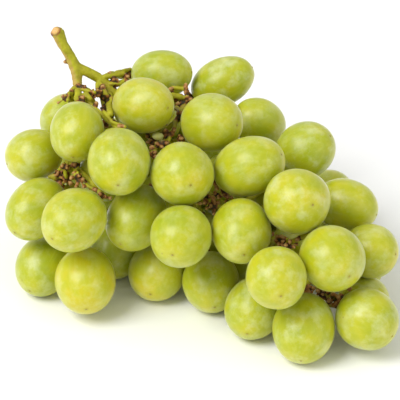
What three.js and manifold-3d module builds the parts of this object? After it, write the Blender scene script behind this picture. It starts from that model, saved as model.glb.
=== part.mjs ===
// A bunch of white table grapes, as cut from the vine, lying on its side.
// One stem grew as one piece: peduncle, rachis, laterals and pedicels.
// Each berry is a piece of its own, held by the brush that ends its pedicel.
// Millimetres, +Z up, the surface at z = 0, the origin under the middle of the bunch.
import * as THREE from "three";
import { mergeVertices } from "three/addons/utils/BufferGeometryUtils.js";
import Module from "manifold-3d";

const wasm = await Module();
wasm.setup();

// Places are given as they are seen by someone who looks at the bunch from in front and above:
// to the right, up the view and nearer, all in millimetres from the middle of the view.
const VIEW_TILT = THREE.MathUtils.degToRad(32);
const VIEW_DISTANCE = 900;
const VIEW_MIDDLE = new THREE.Vector3(0, 0, 40);
const RIGHT = new THREE.Vector3(1, 0, 0);
const UPWARD = new THREE.Vector3(0, Math.sin(VIEW_TILT), Math.cos(VIEW_TILT));
const NEARER = new THREE.Vector3(0, -Math.cos(VIEW_TILT), Math.sin(VIEW_TILT));
const DOWN = new THREE.Vector3(0, 0, -1);

// Berries
const BERRY_SIDES = 12;
const BERRY_RINGS = 6;
const BERRY_GAP = 0.45; // between the skins of neighbours
const BERRY_PLUMP = 1.02; // makes up for the volume that flat faces cut off
const FLAT_SPOT_DEPTH = 0.35; // a berry that carries the bunch is flattened by this much
const SOCKET_RADIUS = 1.15; // where the brush goes into the berry
const SOCKET_DEPTH = 2.8;
const SETTLE_ROUNDS = 900;
const HIDDEN_BERRIES = 19;
const HIDDEN_WIDTH = 22;
const HIDDEN_LENGTH = 25;
const HIDDEN_BEHIND = 9; // the middle of a hidden berry is at least this far behind the rachis
const HIDDEN_BELOW = 2; // and this far below it
const HIDDEN_LEFT = -48; // and between these two places from side to side
const HIDDEN_RIGHT = 60;

// Stem
const STEM_SIDES = 5;
const BAR_TOLERANCE = 0.55; // how far the middle line of a bar may cut a bend short
const PEDUNCLE_SIDES = 9;
const PEDUNCLE_RADIUS = 2.0;
const CUT_FLARE = 0.7; // the cut end is thicker by this much
const CUT_FLARE_LENGTH = 2.6;
const WAIST = 0.35; // and the peduncle is thinner by this much this far below it
const WAIST_AT = 8;
const WAIST_LENGTH = 5;
const CORE_ROOM = 2.85; // from the middle of the rachis to a berry's skin
const PEDICEL_RADIUS = 1.1;
const CRUMB = 0.05; // mm3
const RECEPTACLE_RADIUS = 2.1; // the swollen end of a pedicel, against the berry
const RECEPTACLE_GAP = 0.35;
const BRUSH_RADIUS = 0.75;
const BRUSH_LENGTH = 2.2;
const STEM_GAP = 0.35; // between the stem and the skin of a berry that it passes
const GRID_STEP = 1.5; // of the grid on which pedicels find their way
const PEDICEL_START = 4.6; // how far behind the berry its pedicel is free to bend
const FREE_PEDICEL = 7; // the part of a pedicel, next to the berry, from which no other branches
const JOIN_LOW = 0.45; // how much a pedicel prefers to join the stem low down
const LOOK_LOWER = 10; // and how much farther it looks for such a place
const JOIN_FROM = 28; // nothing joins the peduncle above this distance from the cut end
// The room that a pedicel has behind its berry: how far back, and how wide.
const KNOT_ROOM = [
  [2.4, 3],
  [6, 2],
];

// The berries that the seen side shows: place, the way the tip points, length and width.
// "floor" in place of the third number means: as near as makes it rest on the surface.
const SEEN_BERRIES = [
  { at: [-47.4, 26.2, 2], tip: [-0.1, -0.8, 0.6], length: 24.6, width: 20.8 },
  { at: [-51.2, 30.8, -24], tip: [-0.75, -0.3, -0.6], length: 22.6, width: 20 },
  { at: [-63.9, 17.3, -15], tip: [-0.9, -0.3, 0.3], length: 22.6, width: 20.8 },
  { at: [-63.1, -3.5, -2], tip: [-0.55, -0.65, 0.5], length: 27.4, width: 21.4 },
  { at: [-48.5, -7.7, 18], tip: [-0.55, -0.5, 0.65], length: 27.6, width: 23 },
  { at: [-60.1, -25.4, "floor"], tip: [-0.4, -0.75, 0.5], length: 25.2, width: 21.6 },
  { at: [-44.1, -31.0, 2], tip: [0.05, -0.8, 0.6], length: 26.8, width: 23.4 },
  { at: [-32.0, -20.0, "floor"], tip: [0, -0.7, 0.7], length: 24, width: 21 },
  { at: [-31.2, 14.8, 16], tip: [0, -0.65, 0.76], length: 27.8, width: 23.6 },
  { at: [-24.6, -6.9, 2], tip: [-0.4, -0.7, 0.6], length: 28.4, width: 22.4 },
  { at: [-16.2, -27.1, "floor"], tip: [-0.2, -0.7, 0.7], length: 25, width: 21.6 },
  { at: [-6.9, 9.8, 16], tip: [0.25, -0.35, 0.9], length: 25.4, width: 23.8 },
  { at: [-6.7, -13.5, 20], tip: [-0.25, -0.55, 0.8], length: 25, width: 22.8 },
  { at: [4.6, -30.4, "floor"], tip: [0.1, -0.75, 0.65], length: 25, width: 21.8 },
  { at: [15.8, -11.9, 20], tip: [0.05, -0.65, 0.76], length: 27, width: 22.6 },
  { at: [19.4, 12.7, 14], tip: [0.85, 0.3, 0.45], length: 29, width: 22.4 },
  { at: [4.6, 29.8, -4], tip: [0.75, -0.1, 0.65], length: 25.4, width: 22.4 },
  { at: [-21.8, 36.4, -8], tip: [0.75, -0.1, 0.65], length: 25.6, width: 21.8 },
  { at: [-14.8, 48.1, -40], tip: [0.95, 0.05, 0.25], length: 25, width: 19.4 },
  { at: [8.7, 45.5, -42], tip: [0.88, 0.42, 0.2], length: 27, width: 18.8 },
  { at: [22.7, 29.8, -34], tip: [0.8, -0.4, -0.4], length: 22.4, width: 19 },
  { at: [40.4, 18.9, -14], tip: [0.7, 0.4, 0.4], length: 24.4, width: 22 },
  { at: [37.3, -1.9, 20], tip: [0.4, -0.1, 0.9], length: 26, width: 24.6 },
  { at: [55.8, -2.3, -8], tip: [0.9, -0.3, 0.3], length: 25, width: 20.4 },
  { at: [49.5, 1.0, -34], tip: [0.5, 0.1, -0.85], length: 23, width: 21 },
  { at: [65.3, -19.6, 8], tip: [0.85, -0.1, 0.5], length: 22, width: 20.8 },
  { at: [49.4, -21, 31], tip: [0.45, -0.5, 0.75], length: 26, width: 24 },
  { at: [29.8, -29.6, 36], tip: [0.1, -0.5, 0.85], length: 25, width: 22.4 },
  { at: [20.4, -41.6, "floor"], tip: [-0.2, -0.7, 0.65], length: 25.6, width: 21.6 },
  { at: [41.0, -49.3, "floor"], tip: [-0.1, -0.85, 0.5], length: 27.6, width: 23.2 },
  { at: [63.4, -45.8, 20.5], tip: [0.75, -0.5, 0.45], length: 24.2, width: 23 },
  { at: [62.6, -38.3, 0], tip: [0.85, 0.1, -0.45], length: 20, width: 18 },
  { at: [-36.0, 10.0, -14], tip: [-0.6, 0.1, -0.8], length: 23, width: 20.6 },
  { at: [-17.5, 30.0, -42], tip: [-0.3, 0.2, -0.9], length: 23, width: 20.6 },
  { at: [4.0, 20.0, -36], tip: [0.3, 0.5, -0.8], length: 23, width: 20.6 },
];

// The peduncle, from its cut end, and the rachis that it becomes.
const RACHIS = [
  [-55.1, 65.5, -16],
  [-52.6, 60.1, -17],
  [-49.6, 54.7, -19],
  [-46.6, 50.4, -20],
  [-41.6, 48.5, -21],
  [-37.0, 45.4, -22],
  [-33.1, 41.2, -23],
  [-23.1, 30.0, -22],
  [-13.5, 20.0, -17],
  [5.0, 0.0, -8],
  [21.2, -12.3, -2],
  [32.7, -18.1, 4],
  [45.0, -30.0, 7],
];
const CORE_START = 6; // the rachis is among the berries from this point on
// The branches that show where the bunch is open: each starts at its first point, on what stands
// already, and has at least this radius.
const BRANCHES = [
  // the shoulder, and the three twigs that it parts into
  { radius: 1.5, line: [[-46.6, 50.4, -20], [-46.8, 48.2, -19.8], [-47, 45.6, -18.8], [-46.8, 43.8, -17.4]] },
  { radius: 1.15, line: [[-46.8, 43.8, -17.4], [-46.9, 41.8, -14.4], [-46.4, 40.2, -11]] },
  { radius: 1.2, line: [[-46.8, 43.8, -17.4], [-48.6, 43, -15.2], [-49.4, 41.4, -13.2], [-49.8, 39, -11]] },
  { radius: 1.0, line: [[-46.8, 43.8, -17.4], [-44.6, 43.2, -16.6], [-43.5, 42.0, -15.4]] },
  // a short twig under the first bend of the rachis
  { radius: 1.1, line: [[-38.5, 46.6, -21.6], [-39.2, 45.0, -20.6], [-39.3, 42.6, -18.4]] },
  // two laterals to the berries behind
  { radius: 1.0, line: [[-38.5, 46.6, -21.6], [-36.9, 47.9, -25], [-34.1, 48.7, -31], [-32.0, 48.4, -37]] },
  {
    radius: 1.25,
    line: [
      [-35.4, 43.9, -22.5],
      [-33.1, 44.2, -23.4],
      [-30.6, 44.8, -24.6],
      [-28.5, 45.8, -25.2],
      [-25.4, 45.6, -24.6],
      [-20.8, 43.5, -23.8],
      [-16.2, 41.2, -23.8],
      [-12.3, 39.7, -25.4],
    ],
  },
];
// Bare receptacles, whose berries have fallen: place of the end, and the way that it points.
const BARE_KNOBS = [
  { at: [-52.7, 38.6, -9.5], tip: [-0.7, -0.6, 0.4] },
  { at: [-44.0, 43.6, -14.4], tip: [0.6, 0.3, 0.7], size: 0.7 },
  { at: [-41.2, 40.4, -13], tip: [0.4, -0.4, 0.8] },
  { at: [-39.2, 40.4, -15.5], tip: [0, -0.7, 0.7] },
  { at: [-36.9, 43.2, -17.6], tip: [0.7, -0.2, 0.6], size: 0.7 },
  { at: [-36.8, 34.6, -17], tip: [-0.2, -0.4, 0.9] },
  { at: [-36.6, 29.0, -14], tip: [-0.1, -0.3, 0.9] },
  { at: [-32.8, 29.6, -19], tip: [0.4, -0.2, 0.9], size: 0.8 },
  { at: [-33.4, 46.6, -22], tip: [0.1, 0.9, 0.3], size: 0.8 },
  { at: [-54.7, 10.5, -8], tip: [-0.3, 0.3, 0.9] },
  { at: [-50.8, 7.5, -6], tip: [0.2, -0.5, 0.8] },
  { at: [-52.6, 13.4, -3.5], tip: [-0.5, 0.5, 0.7], size: 0.8 },
  { at: [-46.6, 8.4, 4], tip: [0.3, -0.5, 0.8], size: 0.8 },
  { at: [-13.4, 26.0, -10], tip: [-0.2, 0.5, 0.8] },
  { at: [-7.0, 23.8, -10], tip: [0.4, 0.2, 0.9] },
  { at: [-15.4, 21.2, -8], tip: [-0.4, -0.3, 0.8] },
  { at: [-18.9, 22.7, -13], tip: [-0.4, 0.2, 0.9], size: 0.8 },
  { at: [-18.2, 17.0, -4], tip: [-0.1, -0.5, 0.8], size: 0.8 },
  { at: [-8.5, 36.0, -24], tip: [0.1, 0.2, 0.9], size: 0.9 },
  { at: [-3.8, 39.6, -26], tip: [0.3, 0.7, 0.5] },
  { at: [5.2, -1.8, 4], tip: [0.3, 0.1, 0.9] },
  { at: [1.9, 1.9, -1.5], tip: [-0.3, 0.3, 0.9], size: 0.8 },
  { at: [10.0, 3.9, -2.5], tip: [0.4, 0.4, 0.8], size: 0.8 },
  { at: [31.0, -15.5, 12], tip: [-0.3, 0.6, 0.7] },
  { at: [34.6, -17.7, 15], tip: [0.5, 0.1, 0.8], size: 0.8 },
  { at: [46.5, -35.5, 12], tip: [0.1, -0.2, 0.9] },
  { at: [50.3, -34.0, 14], tip: [0.5, 0.2, 0.8], size: 0.8 },
];

// A repeatable draw between 0 and 1.
function makeDraw(seed) {
  let state = seed;
  return () => {
    state = (state * 1664525 + 1013904223) % 4294967296;
    return state / 4294967296;
  };
}

// A place in the view as a point in space: the view narrows towards the eye.
function place([right, up, near]) {
  const narrowing = 1 - near / VIEW_DISTANCE;
  return VIEW_MIDDLE.clone()
    .addScaledVector(RIGHT, right * narrowing)
    .addScaledVector(UPWARD, up * narrowing)
    .addScaledVector(NEARER, near);
}

function direction([right, up, near]) {
  return new THREE.Vector3()
    .addScaledVector(RIGHT, right)
    .addScaledVector(UPWARD, up)
    .addScaledVector(NEARER, near)
    .normalize();
}

// How far a berry reaches from its middle, measured square to a plane that faces `way`.
function reach(berry, way) {
  const along = way.dot(berry.tip);
  const across = Math.sqrt(Math.max(0, 1 - along * along));
  return Math.hypot((along * berry.length) / 2, (across * berry.width) / 2);
}

// How far a point lies outside the skin of a berry.
function outside(berry, point) {
  const arm = point.clone().sub(berry.middle);
  const along = arm.dot(berry.tip);
  const across = Math.sqrt(Math.max(0, arm.lengthSq() - along * along));
  const ratio = Math.hypot(along / (berry.length / 2), across / (berry.width / 2));
  return arm.length() * (1 - 1 / ratio);
}

function stemEnd(berry, back = 0) {
  return berry.middle.clone().addScaledVector(berry.tip, -(berry.length / 2 + back));
}

// How near a place in the view is where its height over the surface is `height`.
function nearAtHeight(up, height) {
  const risePerNear = NEARER.z - (up * UPWARD.z) / VIEW_DISTANCE;
  return (height - VIEW_MIDDLE.z - up * UPWARD.z) / risePerNear;
}

function seenBerry({ at, tip, length, width }) {
  const berry = { tip: direction(tip), length, width, seen: true, at, resting: at[2] === "floor" };
  const [right, up] = at;
  const near = berry.resting ? nearAtHeight(up, reach(berry, DOWN) - FLAT_SPOT_DEPTH) : at[2];
  berry.middle = place([right, up, near]);
  berry.home = berry.middle.clone();
  return berry;
}

// The berries of the far side stand round the rachis in a spiral, tips outwards.
function hiddenBerries(core) {
  const draw = makeDraw(7);
  return Array.from({ length: HIDDEN_BERRIES }, (_, i) => {
    const t = (0.85 * (i + 0.5)) / HIDDEN_BERRIES;
    const foot = core.getPointAt(t);
    const ahead = core.getTangentAt(t);
    const far = NEARER.clone().negate();
    const back = far.addScaledVector(ahead, -far.dot(ahead)).normalize();
    const angle = THREE.MathUtils.degToRad(((i * 137.5) % 170) - 85);
    const tip = back.applyAxisAngle(ahead, angle).addScaledVector(ahead, 0.25).normalize();
    const size = 0.95 + 0.1 * draw();
    const middle = foot.clone().addScaledVector(tip, 22 + 12 * draw());
    return { tip, middle, length: HIDDEN_LENGTH * size, width: HIDDEN_WIDTH * size, seen: false };
  });
}

// A seen berry moves along its line of sight, a resting one over the surface, a hidden one freely.
function move(berry, push) {
  if (!berry.seen) {
    berry.middle.add(push);
  } else if (berry.resting) {
    berry.middle.x += 0.15 * push.x;
    berry.middle.y += 0.15 * push.y;
  } else {
    const along = push.dot(NEARER);
    berry.middle.addScaledVector(NEARER, 1.2 * along);
    berry.middle.addScaledVector(push.clone().addScaledVector(NEARER, -along), 0.1);
  }
}

// The first of two berries takes this share of a push: a hidden one gives way to a seen one.
function firstShare(one, other) {
  if (one.seen === other.seen) return 0.5;
  return one.seen ? 0.2 : 0.8;
}

// A seen berry is drawn to its place, a hidden one to the rachis, behind and below it.
function draw(berry, cores, strength) {
  if (berry.seen) {
    const drift = berry.home.clone().sub(berry.middle);
    berry.middle.addScaledVector(drift, 0.04 * strength);
    return;
  }
  const nearest = cores.reduce((a, b) =>
    a.distanceToSquared(berry.middle) < b.distanceToSquared(berry.middle) ? a : b,
  );
  const pull = nearest.clone().sub(berry.middle);
  const behind = pull.dot(NEARER);
  const below = pull.z;
  berry.middle.addScaledVector(pull.normalize(), 0.28 * strength);
  berry.middle.z -= 0.16 * strength;
  if (behind < HIDDEN_BEHIND) berry.middle.addScaledVector(NEARER, 0.3 * (behind - HIDDEN_BEHIND));
  if (below < HIDDEN_BELOW) berry.middle.z += 0.3 * (below - HIDDEN_BELOW);
  const side = THREE.MathUtils.clamp(berry.middle.x, HIDDEN_LEFT, HIDDEN_RIGHT);
  berry.middle.x += 0.3 * (side - berry.middle.x);
}

function pushApart(one, other) {
  const way = other.middle.clone().sub(one.middle);
  const distance = way.length();
  if (distance > 32) return;
  way.divideScalar(distance);
  const short = reach(one, way) + reach(other, way) + BERRY_GAP - distance;
  if (short <= 0) return;
  const share = firstShare(one, other);
  move(one, way.clone().multiplyScalar(-short * share));
  move(other, way.clone().multiplyScalar(short * (1 - share)));
}

// Keeps one berry off the pedicel of another.
function clearPedicel(one, other) {
  for (const [back, room] of KNOT_ROOM) {
    const knot = stemEnd(other, back);
    const short = room - outside(one, knot);
    if (short <= 0) continue;
    const way = one.middle.clone().sub(knot).normalize();
    const share = firstShare(one, other);
    move(one, way.clone().multiplyScalar(short * share));
    move(other, way.multiplyScalar(-short * (1 - share)));
  }
}

// Moves the berries apart, off the rachis and up from the surface until none touches another.
function settle(berries, core) {
  const cores = core.getSpacedPoints(60);
  for (let round = 0; round < SETTLE_ROUNDS; round++) {
    const strength = Math.max(0, 1 - round / (SETTLE_ROUNDS * 0.6));
    for (const berry of berries) draw(berry, cores, strength);
    berries.forEach((one, i) => {
      for (const other of berries.slice(i + 1)) pushApart(one, other);
      for (const other of berries) if (other !== one) clearPedicel(one, other);
      for (const point of cores) {
        const short = CORE_ROOM - outside(one, point);
        const away = one.middle.clone().sub(point).normalize();
        if (short > 0) move(one, away.multiplyScalar(short * 0.7));
      }
      const sunk = reach(one, DOWN) - FLAT_SPOT_DEPTH - one.middle.z;
      if (sunk > 0 && one.seen) one.middle.addScaledVector(NEARER, (sunk * 0.8) / NEARER.z);
      else if (sunk > 0) one.middle.z += sunk;
    });
  }
}

// The tree of the stem is a list of nodes, each with its place, its parent and its way to the cut end.
function addNode(tree, point, parent, extra = {}) {
  const way = parent ? parent.way + parent.point.distanceTo(point) : 0;
  const node = { point, parent, way, children: [], load: 0, ...extra };
  if (parent) parent.children.push(node);
  tree.push(node);
  return node;
}

// Points on a curve through `points`, GRID_STEP apart.
function evenPoints(points) {
  const curve = new THREE.CatmullRomCurve3(points, false, "centripetal");
  return curve.getSpacedPoints(Math.round(curve.getLength() / GRID_STEP));
}

function makeTrunk(rachis, branches) {
  const tree = [];
  let last = null;
  for (const point of evenPoints(rachis)) last = addNode(tree, point, last, { fixed: true });
  for (const { line, radius } of branches) {
    const points = line.map(place);
    const far = (node) => node.point.distanceTo(points[0]);
    last = tree.reduce((a, b) => (far(a) < far(b) ? a : b));
    evenPoints([last.point, ...points.slice(1)]).forEach((point, i) => {
      if (i) last = addNode(tree, point, last, { fixed: true, least: radius, open: i > 2 });
    });
  }
  return tree;
}

// The cells in which a stem can run, each with its distance to the nearest skin or to the surface.
function makeCells(berries) {
  const box = new THREE.Box3().setFromPoints(berries.map((berry) => berry.middle)).expandByScalar(16);
  box.min.z = 0;
  const count = box.getSize(new THREE.Vector3()).divideScalar(GRID_STEP).ceil();
  const room = new Float32Array(count.x * count.y * count.z);
  const owner = new Int16Array(room.length).fill(-1);
  const cells = { box, count, room, owner };
  for (let c = 0; c < room.length; c++) room[c] = Math.min(4, cellPoint(cells, c).z);
  berries.forEach((berry, index) => {
    const half = berry.length / 2 + 6;
    cellsWithin(cells, berry.middle, half, (c, point) => {
      room[c] = Math.min(room[c], outside(berry, point));
      const behind = -point.clone().sub(berry.middle).dot(berry.tip) - berry.length / 2;
      const beside = pointToAxis(berry, point);
      if (behind > -1 && behind < 5.5 && beside < RECEPTACLE_RADIUS + 1.5) owner[c] = index;
    });
  });
  return cells;
}

function pointToAxis(berry, point) {
  const arm = point.clone().sub(berry.middle);
  return arm.addScaledVector(berry.tip, -arm.dot(berry.tip)).length();
}

function cellPoint({ box, count }, c) {
  const x = c % count.x;
  const y = Math.floor(c / count.x) % count.y;
  const z = Math.floor(c / (count.x * count.y));
  return new THREE.Vector3(x + 0.5, y + 0.5, z + 0.5).multiplyScalar(GRID_STEP).add(box.min);
}

function cellAt({ box, count }, point) {
  const p = point.clone().sub(box.min).divideScalar(GRID_STEP).floor();
  p.clamp(new THREE.Vector3(), count.clone().subScalar(1));
  return p.x + count.x * (p.y + count.y * p.z);
}

function cellsWithin(cells, middle, half, visit) {
  const { box, count } = cells;
  const low = middle.clone().subScalar(half).sub(box.min).divideScalar(GRID_STEP).floor();
  const high = middle.clone().addScalar(half).sub(box.min).divideScalar(GRID_STEP).ceil();
  for (let z = Math.max(0, low.z); z < Math.min(count.z, high.z); z++) {
    for (let y = Math.max(0, low.y); y < Math.min(count.y, high.y); y++) {
      for (let x = Math.max(0, low.x); x < Math.min(count.x, high.x); x++) {
        const c = x + count.x * (y + count.y * z);
        visit(c, cellPoint(cells, c));
      }
    }
  }
}

// A queue that gives back the cell of least cost.
class Queue {
  constructor() {
    this.costs = [];
    this.cells = [];
  }
  get length() {
    return this.cells.length;
  }
  push(cost, cell) {
    const { costs, cells } = this;
    let i = cells.length;
    while (i > 0 && costs[(i - 1) >> 1] > cost) {
      costs[i] = costs[(i - 1) >> 1];
      cells[i] = cells[(i - 1) >> 1];
      i = (i - 1) >> 1;
    }
    costs[i] = cost;
    cells[i] = cell;
  }
  pop() {
    const { costs, cells } = this;
    const first = [costs[0], cells[0]];
    const cost = costs.pop();
    const cell = cells.pop();
    let i = 0;
    while (cells.length && 2 * i + 1 < cells.length) {
      let least = 2 * i + 1;
      if (least + 1 < cells.length && costs[least + 1] < costs[least]) least++;
      if (costs[least] >= cost) break;
      costs[i] = costs[least];
      cells[i] = cells[least];
      i = least;
    }
    if (cells.length) {
      costs[i] = cost;
      cells[i] = cell;
    }
    return first;
  }
}

// The cheapest way from a leaf to the stem that stands already: short, through roomy cells,
// and joining it low down.
function findWay(cells, leaf, nodeInCell) {
  const { count, room, owner } = cells;
  const steps = [];
  for (let z = -1; z <= 1; z++) {
    for (let y = -1; y <= 1; y++) {
      for (let x = -1; x <= 1; x++) {
        if (x || y || z) steps.push([x + count.x * (y + count.y * z), GRID_STEP * Math.hypot(x, y, z)]);
      }
    }
  }
  const need = PEDICEL_RADIUS + STEM_GAP;
  const cost = new Float32Array(room.length).fill(Infinity);
  const from = new Int32Array(room.length).fill(-1);
  const queue = new Queue();
  const start = cellAt(cells, leaf.base);
  cost[start] = 0;
  queue.push(0, start);
  let limit = Infinity;
  let best = Infinity;
  let end = -1;
  while (queue.length) {
    const [spent, cell] = queue.pop();
    if (spent >= Math.min(best, limit)) break;
    if (spent > cost[cell]) continue;
    const node = nodeInCell.get(cell);
    if (node && spent > 2) {
      limit = Math.min(limit, spent + LOOK_LOWER);
      if (spent + JOIN_LOW * node.way < best) {
        best = spent + JOIN_LOW * node.way;
        end = cell;
      }
      continue;
    }
    for (const [step, length] of steps) {
      const next = cell + step;
      if (next < 0 || next >= room.length || room[next] < need - 0.25) continue;
      if (owner[next] >= 0 && owner[next] !== leaf.index) continue;
      const tight = Math.max(0, need + 1 - room[next]);
      const total = Math.fround(spent + length * (1 + 1.2 * tight));
      if (total < cost[next]) {
        cost[next] = total;
        from[next] = cell;
        queue.push(total, next);
      }
    }
  }
  if (end < 0) return null;
  const way = [];
  for (let cell = end; cell >= 0; cell = from[cell]) way.push(cell);
  return { node: nodeInCell.get(end), cells: way };
}

// Leads a pedicel from every leaf to the stem, the farthest leaves first.
function growStem(tree, leaves, cells) {
  const nodeInCell = new Map();
  for (const node of tree) {
    if (node.open || (!node.least && node.way > JOIN_FROM)) nodeInCell.set(cellAt(cells, node.point), node);
  }
  const trunk = tree.slice();
  const far = (leaf) => Math.min(...trunk.map((node) => node.point.distanceTo(leaf.base)));
  const missed = [];
  for (const leaf of leaves.slice().sort((a, b) => far(b) - far(a))) {
    const found = findWay(cells, leaf, nodeInCell);
    if (!found) {
      missed.push(leaf.index);
      continue;
    }
    let last = found.node;
    const points = found.cells.slice(1, -1).map((c) => cellPoint(cells, c));
    for (const point of [...points, leaf.base]) {
      last = addNode(tree, point, last);
      if (point.distanceTo(leaf.base) > FREE_PEDICEL) nodeInCell.set(cellAt(cells, point), last);
    }
    last.leaf = leaf;
    for (let node = last; node; node = node.parent) node.load += leaf.load;
  }
  return missed;
}

// Draws the ways taut and keeps them clear of the skins.
function smoothStem(tree, berries) {
  for (let round = 0; round < 60; round++) {
    for (const node of tree) {
      if (node.fixed || node.leaf) continue;
      const target = node.parent.point.clone();
      let weight = 1;
      for (const child of node.children) {
        const share = child.load / node.load;
        target.addScaledVector(child.point, share);
        weight += share;
      }
      node.point.lerp(target.divideScalar(weight), 0.5);
      keepClear(node, berries, 0.15);
    }
  }
  for (let round = 0; round < 20; round++) {
    for (const node of tree) if (!node.fixed && !node.leaf) keepClear(node, berries, 0.1);
  }
}

function keepClear(node, berries, spare) {
  const want = barRadius(node) + STEM_GAP + spare;
  for (const berry of berries) {
    if (berry.middle.distanceToSquared(node.point) > 400) continue;
    const short = want - outside(berry, node.point);
    const away = node.point.clone().sub(berry.middle).normalize();
    if (short > 0) node.point.addScaledVector(away, 0.6 * short);
  }
  node.point.z = Math.max(node.point.z, want);
}

function clearance(berries, point) {
  return Math.min(point.z, ...berries.map((berry) => outside(berry, point)));
}

// A stem that bears more berries is thicker, and the peduncle flares to its cut end.
function barRadius(node) {
  const growth = Math.log(PEDUNCLE_RADIUS / PEDICEL_RADIUS) / Math.log(FULL_LOAD);
  const flare = CUT_FLARE * Math.exp(-((node.way / CUT_FLARE_LENGTH) ** 2));
  const waist = WAIST * Math.exp(-(((node.way - WAIST_AT) / WAIST_LENGTH) ** 2));
  return Math.max(node.least ?? 0, PEDICEL_RADIUS * Math.max(1, node.load) ** growth) + flare - waist;
}

// A round bar along a line of points, each with a radius, closed at both ends.
function sweep(points, radii, sides) {
  const ways = points.map((_, i) =>
    points[Math.min(i + 1, points.length - 1)].clone().sub(points[Math.max(i - 1, 0)]).normalize(),
  );
  const side = new THREE.Vector3(1, 0, 0);
  if (Math.abs(ways[0].x) > 0.8) side.set(0, 1, 0);
  const positions = [];
  points.forEach((point, i) => {
    side.addScaledVector(ways[i], -side.dot(ways[i])).normalize();
    const other = ways[i].clone().cross(side);
    for (let k = 0; k < sides; k++) {
      const angle = (2 * Math.PI * k) / sides;
      const spot = point.clone().addScaledVector(side, radii[i] * Math.cos(angle));
      positions.push(...spot.addScaledVector(other, radii[i] * Math.sin(angle)));
    }
  });
  const faces = [];
  for (let i = 0; i + 1 < points.length; i++) {
    for (let k = 0; k < sides; k++) {
      const a = i * sides + k;
      const b = i * sides + ((k + 1) % sides);
      faces.push(a, b, b + sides, a, b + sides, a + sides);
    }
  }
  const end = (points.length - 1) * sides;
  for (let k = 1; k + 1 < sides; k++) faces.push(0, k + 1, k, end, end + k, end + k + 1);
  return new wasm.Manifold(
    new wasm.Mesh({
      numProp: 3,
      vertProperties: new Float32Array(positions),
      triVerts: new Uint32Array(faces),
    }),
  );
}

// Leaves out the points of a line that lie within `tolerance` of the line through the rest.
function thinOut(line, tolerance) {
  if (line.length < 3) return line;
  const first = line[0];
  const last = line[line.length - 1];
  const chord = new THREE.Line3(first.point, last.point);
  let worst = tolerance;
  let at = -1;
  for (let i = 1; i < line.length - 1; i++) {
    const nearest = chord.closestPointToPoint(line[i].point, true, new THREE.Vector3());
    const thicker = line[i].radius - (first.radius + last.radius) / 2;
    const off = nearest.distanceTo(line[i].point) + Math.abs(thicker) / 2;
    if (off > worst) {
      worst = off;
      at = i;
    }
  }
  if (at < 0) return [first, last];
  return [...thinOut(line.slice(0, at + 1), tolerance), ...thinOut(line.slice(at), tolerance).slice(1)];
}

// The pieces of bar that make up the stem: each runs from its parent to a leaf or an end.
function stemBars(tree, berries) {
  const bars = [];
  const starts = [[null, tree[0]]];
  while (starts.length) {
    const [foot, first] = starts.pop();
    const line = [];
    for (let node = first; node; ) {
      const room = clearance(berries, node.point) - STEM_GAP;
      line.push({ point: node.point, radius: Math.max(0.6, Math.min(barRadius(node), room)) });
      const heir = node.children.reduce((a, b) => (a && a.load >= b.load ? a : b), null);
      for (const child of node.children) if (child !== heir) starts.push([node, child]);
      if (!heir && node.leaf) line.push(...receptacle(node.leaf));
      node = heir;
    }
    if (foot) line.unshift({ point: foot.point, radius: line[0].radius });
    bars.push(line);
  }
  return bars;
}

// The end of a pedicel: it swells against the berry and sends the brush into it.
function receptacle({ end, tip, bare, size = 1 }) {
  const ring = (back, radius) => ({
    point: end.clone().addScaledVector(tip, -back),
    radius: size * radius,
    sharp: true,
  });
  const swelling = [
    ring(2.7, 1.35),
    ring(1.3, RECEPTACLE_RADIUS),
    ring(RECEPTACLE_GAP, RECEPTACLE_RADIUS - 0.2),
  ];
  if (bare) return [...swelling, ring(0, 1.1)];
  return [...swelling, ring(RECEPTACLE_GAP, BRUSH_RADIUS), ring(-BRUSH_LENGTH, BRUSH_RADIUS - 0.1)];
}

// A closed surface as a solid: vertices are merged and empty triangles dropped.
function solidOf(geometry) {
  const bare = new THREE.BufferGeometry().setIndex(geometry.index);
  bare.setAttribute("position", geometry.getAttribute("position"));
  const merged = mergeVertices(bare, 1e-4);
  const from = merged.index.array;
  const faces = [];
  for (let i = 0; i < from.length; i += 3) {
    const [a, b, c] = from.slice(i, i + 3);
    if (a !== b && b !== c && c !== a) faces.push(a, b, c);
  }
  const vertProperties = merged.attributes.position.array;
  return new wasm.Manifold(new wasm.Mesh({ numProp: 3, vertProperties, triVerts: new Uint32Array(faces) }));
}

// An ellipsoid turned about its long axis, with the socket of the brush at its stem end.
function berrySolid(berry) {
  const half = berry.length / 2;
  const profile = [new THREE.Vector2(0, -half)];
  for (let i = 1; i < BERRY_RINGS; i++) {
    const angle = (Math.PI * i) / BERRY_RINGS;
    const radius = ((BERRY_PLUMP * berry.width) / 2) * Math.sin(angle);
    profile.push(new THREE.Vector2(radius, -half * Math.cos(angle)));
  }
  profile.push(new THREE.Vector2(SOCKET_RADIUS, half));
  profile.push(new THREE.Vector2(0.9 * SOCKET_RADIUS, half - SOCKET_DEPTH));
  profile.push(new THREE.Vector2(0, half - SOCKET_DEPTH));
  const geometry = new THREE.LatheGeometry(profile, BERRY_SIDES);
  const turn = new THREE.Quaternion().setFromUnitVectors(new THREE.Vector3(0, -1, 0), berry.tip);
  geometry.applyQuaternion(turn);
  geometry.translate(...berry.middle);
  geometry.computeBoundingBox();
  const low = geometry.boundingBox.min.z;
  const rests = reach(berry, DOWN) > berry.middle.z;
  if (rests) {
    const stretch = (berry.middle.z + FLAT_SPOT_DEPTH) / (berry.middle.z - low);
    geometry.translate(0, 0, -berry.middle.z).scale(1, 1, stretch).translate(0, 0, berry.middle.z);
  }
  const solid = solidOf(geometry);
  return rests ? solid.trimByPlane([0, 0, 1], 0) : solid;
}

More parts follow.
